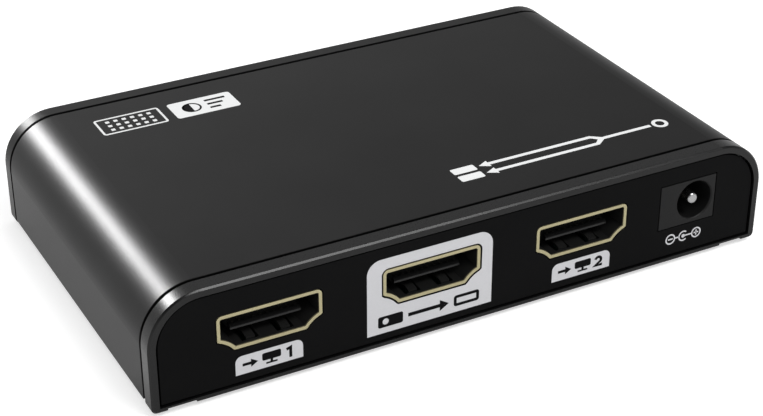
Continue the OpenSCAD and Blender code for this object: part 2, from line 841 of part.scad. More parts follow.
module port_insulator(i) color("#1c1c1d")
    in_port(i) difference() {
        union() {
            along_y(plug_y, plug_len) port_outline(-insulator_fit);
            translate([0, port_len + back_t / 2, -board_drop])
                block([port_open_w - 2 * port_corner_r, back_t, port_open_h + board_drop]);
            port_tongue();
        }
        each_contact() {
            contact_channel(tongue_z + tongue_t / 2);
            contact_channel(tongue_z - tongue_t / 2 - contact_t);
        }
    }

module port_contacts(i) color("#cbb26b")
    in_port(i) each_contact() {
        contact(tongue_z + tongue_t / 2);
        contact(tongue_z - tongue_t / 2 - contact_t);
    }

// Frame of the power jack: X from its middle, Y from its face, Z from the board
module in_jack()
    port_end() translate([jack_x, fascia_set, board_top]) children();

// Tail of the centre pin, or with a fit its slot in the board
module pin_tail(fit = 0)
    translate([bore_x, jack_len + jack_tail_t / 2, -board_t - tail_out - fit])
        block([jack_tail_w + 2 * fit, jack_tail_t + 2 * fit, board_t + tail_out + bore_z]);

// Tail of the leaf's terminal, or with a fit its slot in the board
module terminal_tail(fit = 0)
    translate([slot_x + slot_w / 2, jack_len + jack_tail_t / 2, -board_t - tail_out - fit])
        block([jack_tail_w + 2 * fit, jack_tail_t + 2 * fit, board_t + tail_out + bore_z]);

module power_jack_housing() color("#2b2c2e")
    in_jack() difference() {
        translate([0, jack_len / 2, 0]) block([jack_w, jack_len, jack_h]);
        translate([bore_x, -over, bore_z]) rotate([-90, 0, 0]) cylinder(r = bore_r, h = over + bore_depth);
        translate([bore_x, -edge_over, bore_z]) rotate([-90, 0, 0])
            cylinder(r1 = bore_r + bore_break + edge_over, r2 = bore_r, h = bore_break + edge_over);
        translate([bore_x, 0, bore_z]) rotate([-90, 0, 0])
            cylinder(r = pin_root_r + pin_fit, h = jack_len + over);
        translate([slot_x, slot_wall, bore_z - slot_h / 2])
            cube([slot_w + leaf_rise, bore_depth - slot_wall, slot_h]);
        translate([slot_x, slot_wall, bore_z - slot_h / 2])
            cube([slot_w, jack_len - slot_wall + over, slot_h]);
    }

module power_jack_pin() color("#c4c6c8")
    in_jack() {
        translate([bore_x, 0, bore_z]) rotate([-90, 0, 0]) {
            translate([0, 0, pin_set]) cylinder(r1 = pin_r - pin_break, r2 = pin_r, h = pin_break);
            translate([0, 0, pin_set + pin_break]) cylinder(r = pin_r, h = jack_len - pin_set - pin_break);
            translate([0, 0, bore_depth]) cylinder(r = pin_root_r, h = jack_len - bore_depth);
        }
        pin_tail();
    }

module power_jack_leaf() color("#c9a85a")
    in_jack() translate([0, 0, bore_z - leaf_h / 2]) linear_extrude(leaf_h) {
        translate([eye_x, eye_y]) circle(eye_r);
        polygon([
            [eye_x - leaf_t / 2, eye_y],
            [leaf_crest_x - leaf_t, leaf_crest + leaf_crest_l / 2],
            [leaf_crest_x - leaf_t, leaf_crest - leaf_crest_l / 2],
            [leaf_tip_x, leaf_tip],
            [leaf_tip_x + leaf_t, leaf_tip],
            [leaf_crest_x, leaf_crest - leaf_crest_l / 2],
            [leaf_crest_x, leaf_crest + leaf_crest_l / 2],
            [eye_x + leaf_t / 2, eye_y]
        ]);
    }

module power_jack_terminal() color("#c4c6c8")
    in_jack() {
        difference() {
            translate([slot_x + slot_w / 2, eye_y, bore_z - leaf_h / 2])
                translate([-terminal_w / 2, 0, 0]) cube([terminal_w, eye_in + jack_tail_t, leaf_h]);
            translate([eye_x, eye_y, bore_z - leaf_h / 2 - over])
                cylinder(r = eye_r + eye_fit, h = leaf_h + 2 * over);
        }
        terminal_tail();
    }

// Places the children on the board at a point across the box and behind the port face
module on_board(at)
    port_end() translate([at.x, at.y, board_top]) children();

module splitter_chip() color("#202124")
    on_board([port_middle, chip_back]) block([chip_w, chip_w, chip_h]);

module thermal_pad() color("#9fb4c4")
    on_board([port_middle, chip_back]) translate([0, 0, chip_h]) block([chip_w, chip_w, pad_t]);

module heat_sink() color("#9a9c9f")
    on_board([port_middle, chip_back]) translate([0, 0, chip_h + pad_t])
        along_y(-sink_w / 2, sink_w) {
            translate([-sink_w / 2, 0]) square([sink_w, sink_base]);
            for (k = [0 : fin_count - 1])
                translate([k * (sink_w - fin_t) / (fin_count - 1) - sink_w / 2, 0]) square([fin_t, sink_h]);
        }

module voltage_regulators() color("#222326")
    for (p = REGULATORS) on_board(p) {
        block([reg_w, reg_d, reg_h]);
        translate([0, reg_d / 2, 0]) block([reg_tab_w, 2 * reg_lead_l, reg_lead_t]);
        for (k = [-1 : 1])
            translate([k * reg_pitch, -reg_d / 2, 0]) block([reg_lead_w, 2 * reg_lead_l, reg_lead_t]);
    }

module power_inductors() color("#3a3b3d")
    for (p = INDUCTORS) on_board(p) difference() {
        chamfered_block(coil_w, coil_h, coil_chamfer);
        translate([0, 0, coil_h - coil_dish_d]) cylinder(r = coil_dish_r, h = over);
    }

module bulk_capacitors() color("#aeb1b5")
    for (p = CAPACITORS) on_board(p) {
        chamfered_block(2 * (can_r + can_rim), can_base, can_chamfer);
        cylinder(r = can_r, h = can_h);
    }

module protection_diode() color("#26272a")
    on_board(DIODE) block(diode_size);

module clock_crystal() color("#bfc2c6")
    on_board(CRYSTAL) block(crystal_size);

module surge_arrays() color("#2a2b2e")
    for (i = [0 : 2], side = [-1, 1])
        on_board([port_at(i) + side * surge_pitch / 2, fascia_set + port_rear + contact_foot + surge_back])
            block([surge_w, surge_d, surge_h]);

module chip_passives() color("#a58a62")
    for (row = passive_rows, k = [0 : passive_count - 1])
        on_board([port_middle + (k - (passive_count - 1) / 2) * passive_pitch, row])
            block([chip_l, chip_d, chip_t]);

// Frame of a lens: Y from its tip at the indicator fascia's front, inwards
module in_led(i)
    indicator_end() translate([(i - (led_count - 1) / 2) * led_pitch, fascia_set, led_z]) children();

module status_lenses() color("#6fd08a")
    for (i = [0 : led_count - 1]) in_led(i) rotate([-90, 0, 0]) {
        translate([0, 0, led_r]) sphere(led_r);
        translate([0, 0, led_r]) cylinder(r = led_r, h = led_len - led_r);
        translate([0, 0, led_len - flange_t]) cylinder(r = flange_r, h = flange_t);
    }

// The part of a lens's leads that goes through the board, or with a fit its holes
module lead_drops(fit = 0)
    for (x = [-1, 1])
        translate([x * lead_pitch / 2, led_len + lead_reach, board_z - led_z - tail_out - fit])
            block([lead_w + 2 * fit, lead_w + 2 * fit, led_z - board_z + tail_out + fit + lead_w / 2]);

module lens_leads() color("#c4c6c8")
    for (i = [0 : led_count - 1]) in_led(i) {
        lead_drops();
        for (x = [-1, 1])
            translate([x * lead_pitch / 2, led_len + lead_reach / 2, -lead_w / 2])
                block([lead_w, lead_reach, lead_w]);
    }

top_cover();
base_plate();
port_end() bezel();  // port_bezel
indicator_end() bezel();  // indicator_bezel
port_fascia();
indicator_fascia();
rubber_feet();
base_screws();
insulating_sheet();
board_standoffs();
board_screws();
main_board();
port_shell(0);  // output_1_shell
port_insulator(0);  // output_1_insulator
port_contacts(0);  // output_1_contacts
upper_springs(0);  // output_1_upper_springs
lower_springs(0);  // output_1_lower_springs
port_shell(1);  // input_shell
port_insulator(1);  // input_insulator
port_contacts(1);  // input_contacts
upper_springs(1);  // input_upper_springs
lower_springs(1);  // input_lower_springs
port_shell(2);  // output_2_shell
port_insulator(2);  // output_2_insulator
port_contacts(2);  // output_2_contacts
upper_springs(2);  // output_2_upper_springs
lower_springs(2);  // output_2_lower_springs
power_jack_housing();
power_jack_pin();
power_jack_leaf();
power_jack_terminal();
splitter_chip();
thermal_pad();
heat_sink();
voltage_regulators();
power_inductors();
bulk_capacitors();
protection_diode();
clock_crystal();
surge_arrays();
chip_passives();
status_lenses();
lens_leads();
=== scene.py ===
import json
import math

import bmesh
import bpy
from mathutils import Matrix, Quaternion, Vector


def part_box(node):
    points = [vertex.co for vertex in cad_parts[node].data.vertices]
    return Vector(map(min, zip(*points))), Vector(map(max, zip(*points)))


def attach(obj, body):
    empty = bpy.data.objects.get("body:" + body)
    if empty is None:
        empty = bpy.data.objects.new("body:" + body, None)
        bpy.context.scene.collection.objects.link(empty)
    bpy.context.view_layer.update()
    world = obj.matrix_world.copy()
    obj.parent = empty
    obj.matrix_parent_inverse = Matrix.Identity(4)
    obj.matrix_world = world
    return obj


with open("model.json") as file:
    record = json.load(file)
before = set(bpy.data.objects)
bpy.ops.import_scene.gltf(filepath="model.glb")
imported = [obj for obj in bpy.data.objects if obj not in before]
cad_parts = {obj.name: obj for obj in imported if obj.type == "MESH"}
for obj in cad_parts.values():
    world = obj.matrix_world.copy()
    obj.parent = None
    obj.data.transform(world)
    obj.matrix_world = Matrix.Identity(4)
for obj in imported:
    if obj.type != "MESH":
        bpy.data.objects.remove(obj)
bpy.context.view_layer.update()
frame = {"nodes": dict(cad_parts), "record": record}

# Lengths below are in millimetres, in the part's own frame, unless a name or a heading says otherwise
MM = 0.001
TOUCHING = 0.001

# Camera, at the photograph's viewing angle
CAMERA_AT = (-109.02, -206.51, 136.38)
CAMERA_AZIMUTH, CAMERA_ELEVATION, CAMERA_ROLL = -27.938, 29.588, -0.093
CAMERA_LENS, CAMERA_SENSOR, CAMERA_NEAR = 84.43, 36.0, 10.0

# Faces that carry prints
FASCIA_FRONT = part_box("port_fascia")[0].y / MM
FASCIA_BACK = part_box("indicator_fascia")[1].y / MM
COVER_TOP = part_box("top_cover")[1].z / MM

# Thickness of a printed film, and how far its underside is let into the face
FILM = 0.02
FILM_SUNK = 0.01


def direction(azimuth, elevation):
    """Unit vector from the object towards an azimuth (0 is the port side) and an elevation, in degrees."""
    a, e = math.radians(azimuth), math.radians(elevation)
    return Vector((math.sin(a) * math.cos(e), -math.cos(a) * math.cos(e), math.sin(e)))


def add_camera():
    data = bpy.data.cameras.new("camera")
    data.lens, data.sensor_width, data.clip_start = CAMERA_LENS, CAMERA_SENSOR, CAMERA_NEAR * MM
    camera = bpy.data.objects.new("camera", data)
    bpy.context.scene.collection.objects.link(camera)
    camera.location = Vector(CAMERA_AT) * MM
    level = (-direction(CAMERA_AZIMUTH, CAMERA_ELEVATION)).to_track_quat("-Z", "Y")
    camera.rotation_mode = "QUATERNION"
    camera.rotation_quaternion = level @ Quaternion((0, 0, 1), math.radians(CAMERA_ROLL))
    bpy.context.scene.camera = camera


add_camera()

# Grain of the finishes: noise detail, the broad drift in grains to the metre, the span that noise
# mostly keeps to, and the part of it over which a tone changes
FINE_DETAIL, BROAD_DETAIL = 3.0, 2.0
BROAD_GRAIN = 70
NOISE_SPAN = (0.3, 0.7)
TONE_SPAN = (0.35, 0.65)
BLACK, WHITE = (0, 0, 0, 1), (1, 1, 1, 1)


def shade(colour, share):
    return tuple(channel * share for channel in colour)


class Finish:
    """A material under construction: its Principled shader, and textures in the part's own frame."""

    def __init__(self, name, metallic=0.0, specular=0.5, **sockets):
        self.slot = name
        self.material = bpy.data.materials.new(f"{name}_finish")
        self.material.use_nodes = True
        self.tree = self.material.node_tree
        self.shader = self.tree.nodes["Principled BSDF"]
        self.set("Metallic", metallic)
        self.set("Specular IOR Level", specular)
        for socket, value in sockets.items():
            self.set(socket.replace("_", " "), value)
        self.place = self.node("ShaderNodeTexCoord").outputs["Object"]

    def node(self, kind, inputs=None, **settings):
        made = self.tree.nodes.new(kind)
        for key, value in settings.items():
            setattr(made, key, value)
        for socket, value in (inputs or {}).items():
            self.feed(made.inputs[socket], value)
        return made

    def feed(self, socket, value):
        if isinstance(value, bpy.types.NodeSocket):
            self.tree.links.new(value, socket)
        else:
            socket.default_value = value

    def set(self, socket, value):
        self.feed(self.shader.inputs[socket], value)

    def source(self, socket):
        """What already feeds one of the shader's sockets."""
        return self.shader.inputs[socket].links[0].from_socket

    def axis(self, name):
        """One coordinate of the place, in metres."""
        return self.node("ShaderNodeSeparateXYZ", {0: self.place}).outputs[name]

    def noise(self, scale, detail=BROAD_DETAIL, stretch=(1, 1, 1)):
        """Noise with about scale grains to the metre, drawn out where stretch is below 1."""
        where = self.node("ShaderNodeMapping", {"Vector": self.place, "Scale": stretch}).outputs["Vector"]
        made = self.node("ShaderNodeTexNoise", {"Vector": where, "Scale": scale, "Detail": detail})
        return made.outputs["Fac"]

    def math(self, operation, a, b):
        return self.node("ShaderNodeMath", {0: a, 1: b}, operation=operation).outputs["Value"]

    def fade(self, value, start, end, low=0.0, high=1.0):
        """Runs from low to high while the value goes from start to end, and stays level beyond them."""
        made = self.node("ShaderNodeMapRange", {
            "Value": value, "From Min": start, "From Max": end, "To Min": low, "To Max": high,
        })
        return made.outputs["Result"]

    def spread(self, noise, low, high):
        """Noise opened out to run from low to high."""
        return self.fade(noise, *NOISE_SPAN, low, high)

    def ramp(self, value, stops):
        made = self.node("ShaderNodeValToRGB", {"Fac": value})
        for element, (position, colour) in zip(made.color_ramp.elements, stops):
            element.position, element.color = position, (*colour, 1.0)
        return made.outputs["Color"]

    def tones(self, noise, colour, tone):
        """The colour, darker or lighter by up to that share as the noise goes."""
        return self.ramp(noise, zip(TONE_SPAN, (shade(colour, 1 - tone), shade(colour, 1 + tone))))

    def mix(self, factor, face, colour):
        """The colour over what feeds face, as far as the factor goes."""
        made = self.node("ShaderNodeMix", data_type="RGBA")
        self.feed(made.inputs["Factor"], factor)
        self.feed(made.inputs["A"], face)
        self.feed(made.inputs["B"], (*colour, 1.0))
        return made.outputs["Result"]

    def relief(self, height, depth, strength=1.0):
        """Bump of that depth in millimetres."""
        bump = self.node("ShaderNodeBump", {"Height": height, "Distance": depth * MM, "Strength": strength})
        self.set("Normal", bump.outputs["Normal"])


def surface(name, colour, rough, metallic=0.0, specular=0.5, grain=7000, depth=0.004, tone=0.12,
            play=0.05, stretch=(1, 1, 1), **sockets):
    """Moulded, cast or drawn surface: tone drifts over it, and a fine grain breaks its gloss and its face."""
    made = Finish(name, metallic, specular, **sockets)
    fine = made.noise(grain, FINE_DETAIL, stretch)
    broad = made.noise(BROAD_GRAIN)
    drift = made.math("ADD", made.math("MULTIPLY", fine, 0.5), made.math("MULTIPLY", broad, 0.5))
    made.set("Base Color", made.tones(drift, colour, tone))
    made.set("Roughness", made.spread(fine, rough - play, rough + play))
    made.relief(fine, depth)
    return made


# The seam between the cover and each bezel, and the shares of its width between which painted shade at
# its bottom gives way to the bezel's own tone
COVER_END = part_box("top_cover")[1].y / MM
SEAM = 0.6
SEAM_SHADE_FADE = (0.85, 0.95)
SEAM_SHADE_COLOUR = (0.001, 0.001, 0.001)


def seamed_bezel(name, colour, rough, specular):
    """Smooth moulded surface, with painted shade where it shows at the bottom of the seam."""
    made = surface(name, colour, rough, specular=specular, grain=6000, depth=0.001, tone=0.09, play=0.01)
    across = made.math("ABSOLUTE", made.axis("Y"), 0.0)
    start, end = ((COVER_END + share * SEAM) * MM for share in SEAM_SHADE_FADE)
    shade_mask = made.fade(across, start, end, 1.0, 0.0)
    # Painted shade: the bezel turns near black at the bottom of the seam, where shade falls between the parts
    made.set("Base Color", made.mix(shade_mask, made.source("Base Color"), SEAM_SHADE_COLOUR))
    return made


# Depth behind the fascia's face, in metres, over which a receptacle's plating gives way to painted shade,
# matte and near black, deeper in the socket
LIP_SHADE_FADE = (0.05 * MM, 0.25 * MM)


def plated_shell(name, gold, painted_shade_colour):
    """Pale gold plate at the receptacle's mouth, with painted shade deeper in: matte and near black."""
    made = Finish(name)
    depth_in = made.math("SUBTRACT", made.axis("Y"), FASCIA_FRONT * MM)
    shade_mask = made.fade(depth_in, *LIP_SHADE_FADE)
    fine = made.noise(9000, FINE_DETAIL)
    # Painted shade: past the lip the plating turns near black and matte, where shade falls in the socket
    made.set("Base Color", made.mix(shade_mask, made.tones(fine, gold, 0.07), painted_shade_colour))
    made.set("Metallic", made.math("SUBTRACT", 1.0, shade_mask))
    made.set("Roughness", made.spread(fine, 0.28, 0.4))
    made.relief(fine, 0.003)
    return made


# The end of the receptacles' tongues, with the depth in metres over which the painted highlight on its end
# fades, the shares of its height between which that painted highlight ends, and the depth in metres over
# which the tongue turns paler as painted light against the socket's shade
TONGUE_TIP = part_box("input_insulator")[0].y / MM
tip_levels = [
    v.co.z / MM for v in frame["nodes"]["input_insulator"].data.vertices
    if v.co.y / MM < TONGUE_TIP + 10 * TOUCHING
]
TIP_LOW, TIP_HEIGHT = min(tip_levels), max(tip_levels) - min(tip_levels)
PAINTED_SHINE_DEPTH = (0.25 * MM, 0.5 * MM)
PAINTED_SHINE_SHARE = (0.58, 0.78)
PAINTED_LIGHT_DEPTH = (0.5 * MM, 2.5 * MM)


def tongue_finish(name, front, back, rough, gloss, painted_shine_gloss=None, **settings):
    """Near-black tongue, paler deeper in as painted light; given a tip gloss, a painted highlight on its
    end's lower edge.
    """
    made = surface(name, front, rough, specular=gloss, **settings)
    depth_in = made.math("SUBTRACT", made.axis("Y"), TONGUE_TIP * MM)
    # Painted light: the tongue turns paler deeper into the socket, against the shade that falls there
    far = made.fade(depth_in, *PAINTED_LIGHT_DEPTH)
    made.set("Base Color", made.mix(far, made.source("Base Color"), back))
    if painted_shine_gloss:
        # Painted highlight: more gloss only along the lower edge of the tongue's end, where light falls
        start, end = ((TIP_LOW + share * TIP_HEIGHT) * MM for share in PAINTED_SHINE_SHARE)
        lower = made.fade(made.axis("Z"), start, end, 1.0, 0.0)
        painted_shine = made.math("MULTIPLY", lower, made.fade(depth_in, *PAINTED_SHINE_DEPTH, 1.0, 0.0))
        made.set("Specular IOR Level", made.fade(painted_shine, 0.0, 1.0, gloss, painted_shine_gloss))
    return made


def circuit_board(name, resist, track):
    """Dark resist over copper tracks, with the weave of the laminate showing through."""
    made = Finish(name)
    weave = made.noise(5200, stretch=(1, 0.3, 1))
    lines = made.node("ShaderNodeTexBrick", {
        "Vector": made.place, "Scale": 260.0, "Mortar Size": 0.012, "Color1": BLACK, "Color2": BLACK,
        "Mortar": WHITE,
    }).outputs["Color"]
    made.set("Base Color", made.mix(lines, made.tones(weave, resist, 0.15), track))
    made.set("Roughness", made.spread(weave, 0.28, 0.42))
    made.relief(lines, 0.03, 0.6)
    return made


# Depth of a status lens, from its face to its flange
LENS_DEPTH = 4


def tinted_lens(name, tint):
    """Clear moulded lens, deeper in tint towards its flange."""
    made = Finish(name, Transmission_Weight=0.65, IOR=1.49)
    depth_in = made.math("SUBTRACT", FASCIA_BACK * MM, made.axis("Y"))
    far = made.math("DIVIDE", depth_in, LENS_DEPTH * MM)
    made.set("Base Color", made.ramp(far, [(0.0, shade(tint, 1.25)), (1.0, shade(tint, 0.6))]))
    made.set("Roughness", made.spread(made.noise(4000), 0.12, 0.25))
    return made


def ink(name, colour, specular=0.3, tone=0.03):
    return surface(name, colour, 0.5, specular=specular, grain=5200, tone=tone).material


FINISHES = [
    surface("cover", (0.0555, 0.0553, 0.0556), 0.37, metallic=1.0, grain=16000, depth=0.002, tone=0.07,
            stretch=(1, 0.4, 1), Specular_Tint=(0.74, 0.74, 0.74, 1.0)),
    surface("plate", (0.42, 0.43, 0.44), 0.38, metallic=1.0, grain=9000, stretch=(0.05, 1, 1)),
    seamed_bezel("bezel", (0.004, 0.004, 0.0042), 0.28, specular=0.4),
    surface("fascia", (0.006, 0.006, 0.0062), 0.55, specular=0.03, grain=5200, depth=0.008),
    surface("feet", (0.012, 0.012, 0.012), 0.75, specular=0.25, grain=3800, depth=0.02),
    surface("screws", (0.5, 0.5, 0.51), 0.3, metallic=1.0),
    surface("sheet", (0.55, 0.5, 0.3), 0.35, grain=3000, depth=0.006),
    surface("standoffs", (0.6, 0.45, 0.16), 0.28, metallic=1.0, grain=6000, stretch=(1, 1, 6)),
    circuit_board("board", (0.004, 0.009, 0.007), (0.009, 0.02, 0.015)),
    # The shells' second colour is painted shade for the depth of the sockets
    plated_shell("port_shell", (0.6, 0.545, 0.335), (0.011, 0.011, 0.0107)),
    # Tongues and their contacts turn paler deeper in, as painted light; the insulator's end gets a painted
    # highlight on its lower edge, and the contacts are near black at the tip as painted shade over their
    # plating
    tongue_finish("insulator", (0.006, 0.006, 0.006), (0.1, 0.1, 0.1), 0.3, 0.05, painted_shine_gloss=0.5, grain=5000,
                  depth=0.006),
    tongue_finish("contacts", (0.01, 0.0096, 0.0087), (0.12, 0.116, 0.106), 0.4, 0.03, grain=9000),
    # Near black as painted shade: the springs sit in the shade of the sockets, though they are plated metal
    surface("springs", (0.01, 0.01, 0.0097), 0.45, specular=0.2, grain=9000),
    surface("jack", (0.0058, 0.0058, 0.006), 0.5, specular=0.26, grain=5200, depth=0.007),
    surface("jack_pin", (0.53, 0.53, 0.535), 0.26, metallic=1.0, grain=8000),
    surface("leaf", (0.12, 0.11, 0.09), 0.4, metallic=1.0, grain=8000),
    surface("chips", (0.011, 0.011, 0.012), 0.55, grain=4200, depth=0.012),
    surface("pad", (0.25, 0.34, 0.44), 0.7, grain=2600, depth=0.02),
    surface("sink", (0.34, 0.35, 0.36), 0.35, metallic=1.0, stretch=(1, 0.05, 1)),
    surface("ferrite", (0.03, 0.03, 0.032), 0.6, grain=3800, depth=0.015),
    surface("cans", (0.55, 0.56, 0.57), 0.3, metallic=1.0, grain=6000, stretch=(1, 1, 0.1)),
    surface("ceramic", (0.33, 0.23, 0.12), 0.45, grain=5200, depth=0.008),
    tinted_lens("lenses", (0.1, 0.52, 0.17)),
    surface("leads", (0.6, 0.61, 0.62), 0.32, metallic=1.0, grain=8000),
]
materials = {made.slot: made.material for made in FINISHES}
# Shaded copy of the bezel finish for the indicator end: rougher and less glossy, as painted shade, so that
# its highlight comes out dimmer than the port end's
shaded_bezel_copy = seamed_bezel("shaded_bezel_copy", (0.005, 0.005, 0.0052), 0.36, specular=0.2).material
light_ink = ink("light_ink", (0.63, 0.63, 0.65))
white_ink = ink("white_ink", (0.86, 0.87, 0.87))
dark_ink = ink("dark_ink", (0.004, 0.004, 0.0045), specular=0.05, tone=0.12)

for part in frame["record"]["subparts"]:
    frame["nodes"][part["node"]].material_slots[0].material = materials[part["material_slot"]]
frame["nodes"]["indicator_bezel"].material_slots[0].material = shaded_bezel_copy

# Rounded edges: their widths, and in degrees the turn from which an edge is rounded and the turn up to
# which faces count as one
EDGES = {
    "top_cover": 0.05, "port_bezel": 0.05, "indicator_bezel": 0.05, "port_fascia": 0.05,
    "indicator_fascia": 0.05, "power_jack_housing": 0.05, "power_jack_pin": 0.1, "base_plate": 0.08,
    "base_screws": 0.1,
}
WINDOWED_EDGES = {"output_1_shell": 0.07, "input_shell": 0.07, "output_2_shell": 0.07}
EDGE_TURN, FLAT_TURN = math.radians(40), math.radians(0.5)


def soften(node, width, windows=False):
    """Rounds a node's sharp edges a little, to catch the light. Faces with windows aren't merged first."""
    obj = frame["nodes"][node]
    obj.modifiers.new("weld", "WELD").merge_threshold = TOUCHING * MM
    if not windows:
        flat = obj.modifiers.new("flat", "DECIMATE")
        flat.decimate_type, flat.angle_limit = "DISSOLVE", FLAT_TURN
    bevel = obj.modifiers.new("bevel", "BEVEL")
    bevel.width, bevel.segments = width * MM, 2
    bevel.limit_method, bevel.angle_limit = "ANGLE", EDGE_TURN
    bevel.miter_outer = "MITER_ARC"
    obj.modifiers.new("normals", "WEIGHTED_NORMAL").keep_sharp = True


for edged, edge_width in EDGES.items():
    soften(edged, edge_width)
for edged, edge_width in WINDOWED_EDGES.items():
    soften(edged, edge_width, windows=True)


def arc(at, r, start, end, steps=12):
    """Points on a circle from one angle to another, in degrees."""
    turn = [math.radians(start + (end - start) * k / steps) for k in range(steps + 1)]
    return [(at[0] + r * math.cos(t), at[1] + r * math.sin(t)) for t in turn]


def circle(at, r, steps=32):
    return arc(at, r, 0, 360, steps)[:-1]


def panel(left, low, right, high, top_r, low_r=0.0):
    """Rectangle with round top corners and, if low_r is set, round bottom ones."""
    top = arc((right - top_r, high - top_r), top_r, 0, 90) + arc((left + top_r, high - top_r), top_r, 90, 180)
    if low_r:
        return top + arc((left + low_r, low + low_r), low_r, 180, 270) + arc(
            (right - low_r, low + low_r), low_r, 270, 360)
    return top + [(left, low), (right, low)]


def frame_of(left, low, right, high, r, width):
    """Outline of a rectangle with round corners, as a band of that width."""
    smallest_r = 0.05
    inner_r = max(r - width, smallest_r)
    return [
        panel(left, low, right, high, r, r),
        panel(left + width, low + width, right - width, high - width, inner_r, inner_r),
    ]


def ring(at, r, width):
    return [circle(at, r), circle(at, r - width)]


def stroke(points, width):
    """Outline of a line of that width along the points, mitred at its corners."""
    mitre_limit = 0.4
    path = [Vector(p) for p in points]
    left, right = [], []
    for k, point in enumerate(path):
        before = (point - path[k - 1]).normalized() if k else None
        after = (path[k + 1] - point).normalized() if k + 1 < len(path) else None
        along = ((before or after) + (after or before)).normalized()
        side = Vector((-along.y, along.x))
        reach = width / 2 / max(mitre_limit, along.dot(before or after))
        left.append(tuple(point + side * reach))
        right.append(tuple(point - side * reach))
    return [left + right[::-1]]


def dash(start, end, level, width):
    """Outline of a level line."""
    return stroke([(start, level), (end, level)], width)


def arrow(tail, tip, level, width, head):
    """Level arrow to the right."""
    neck, half, barb = tip - head, width / 2, 0.62 * head
    return [[
        (tail, level - half), (neck, level - half), (neck, level - barb), (tip, level),
        (neck, level + barb), (neck, level + half), (tail, level + half),
    ]]


def printed(name, shapes, to_frame, out, material, layer=0):
    """A print as a thin closed film. Each shape is an outline, followed by the outlines of its holes."""
    mesh = bmesh.new()
    normal = Vector(out)
    base = normal * (layer * FILM - FILM_SUNK)
    for loops in shapes:
        edges = []
        for loop in loops:
            corners = [mesh.verts.new((Vector(to_frame(u, v)) + base) * MM) for u, v in loop]
            edges += [mesh.edges.new((corners[k - 1], corners[k])) for k in range(len(corners))]
        filled = bmesh.ops.triangle_fill(mesh, edges=edges, normal=normal, use_beauty=True)["geom"]
        faces = [item for item in filled if isinstance(item, bmesh.types.BMFace)]
        raised = bmesh.ops.extrude_face_region(mesh, geom=faces, use_keep_orig=True)["geom"]
        bmesh.ops.translate(mesh, vec=normal * (FILM + FILM_SUNK) * MM,
                            verts=[item for item in raised if isinstance(item, bmesh.types.BMVert)])
    bmesh.ops.recalc_face_normals(mesh, faces=mesh.faces)
    data = bpy.data.meshes.new(name)
    mesh.to_mesh(data)
    mesh.free()
    data.materials.append(material)
    piece = bpy.data.objects.new(name, data)
    bpy.context.scene.collection.objects.link(piece)
    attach(piece, "box")


def on_ports(u, v):
    return u, FASCIA_FRONT, v


def on_indicators(u, v):
    return -u, FASCIA_BACK, v


def on_top(u, v):
    return u, v, COVER_TOP


PORT_OUT, INDICATOR_OUT, TOP_OUT = (0, -1, 0), (0, 1, 0), (0, 0, 1)


def numeral(digit, at, high, width):
    """The figures 1 and 2, standing on a point at their lower left."""
    x, z = at
    if digit == 1:
        flag, stem = z + 0.76 * high, x + 0.34 * high
        return [stroke([(x, flag), (stem, z + high - width / 2), (stem, z)], width)]
    r, foot = 0.27 * high, z + width / 2
    bowl = arc((x + r, z + high - r - width / 2), r, 165, -35, 10)
    return [stroke(bowl + [(x, foot), (x + 2 * r + width / 2, foot)], width)]


def screen(left, low, width, high, line):
    """A display on its stem and foot."""
    middle, sill, foot, corner_r = left + width / 2, low + 2.4 * line, 0.3 * width, 0.25
    return [
        [panel(left, sill, left + width, low + high, corner_r, corner_r)],
        stroke([(middle, low + line), (middle, sill)], 1.4 * line),
        dash(middle - foot, middle + foot, low + line / 2, line),
    ]


# Output labels: a light tab, with an arrow to a display and the output's number, set off from its left edge
TAB_LOW, TAB_HIGH, TAB_R = 2.77, 5.62, 1.0
TABS = {"output_1": (-36.17, -26.47, 1), "output_2": (12.31, 22.02, 2)}
TAB_SIGNS_LOW, TAB_SIGNS_TALL, TAB_LINE = 3.3, 1.76, 0.42
TAB_ARROW_TAIL, TAB_ARROW_TIP, TAB_ARROW_HEAD = 1.0, 3.2, 1.0
TAB_SCREEN, TAB_SCREEN_WIDE, TAB_SCREEN_LINE, TAB_NUMBER = 3.8, 2.7, 0.26, 7.3
tab_middle = TAB_SIGNS_LOW + TAB_SIGNS_TALL / 2
for port, (left, right, number) in TABS.items():
    printed(f"{port}_tab", [[panel(left, TAB_LOW, right, TAB_HIGH, TAB_R)]], on_ports, PORT_OUT, light_ink)
    printed(f"{port}_marks", [
        arrow(left + TAB_ARROW_TAIL, left + TAB_ARROW_TIP, tab_middle, TAB_LINE, TAB_ARROW_HEAD),
        *screen(left + TAB_SCREEN, TAB_SIGNS_LOW, TAB_SCREEN_WIDE, TAB_SIGNS_TALL, TAB_SCREEN_LINE),
        *numeral(number, (left + TAB_NUMBER, TAB_SIGNS_LOW), TAB_SIGNS_TALL, TAB_LINE),
    ], on_ports, PORT_OUT, dark_ink, layer=1)

# Input label: a light panel round the receptacle, with an arrow from a player to the box
PANEL_LEFT, PANEL_LOW, PANEL_RIGHT, PANEL_HIGH, PANEL_R = -16.95, 2.69, 2.38, 14.3, 2.1
PANEL_FIT = 0.25
SIGNS_LOW, SIGNS_HIGH = 3.6, 5.34
PLAYER_LEFT, PLAYER_RIGHT, PLAYER_R = -15.3, -11.5, 0.3
DISC_X, DISC_R = -14.15, 0.48
INPUT_TAIL, INPUT_TIP, INPUT_LINE, INPUT_HEAD = -10.7, -4.4, 0.55, 1.4
BOX_LEFT, BOX_RIGHT, BOX_R, BOX_LINE = -3.6, 0.4, 0.4, 0.45


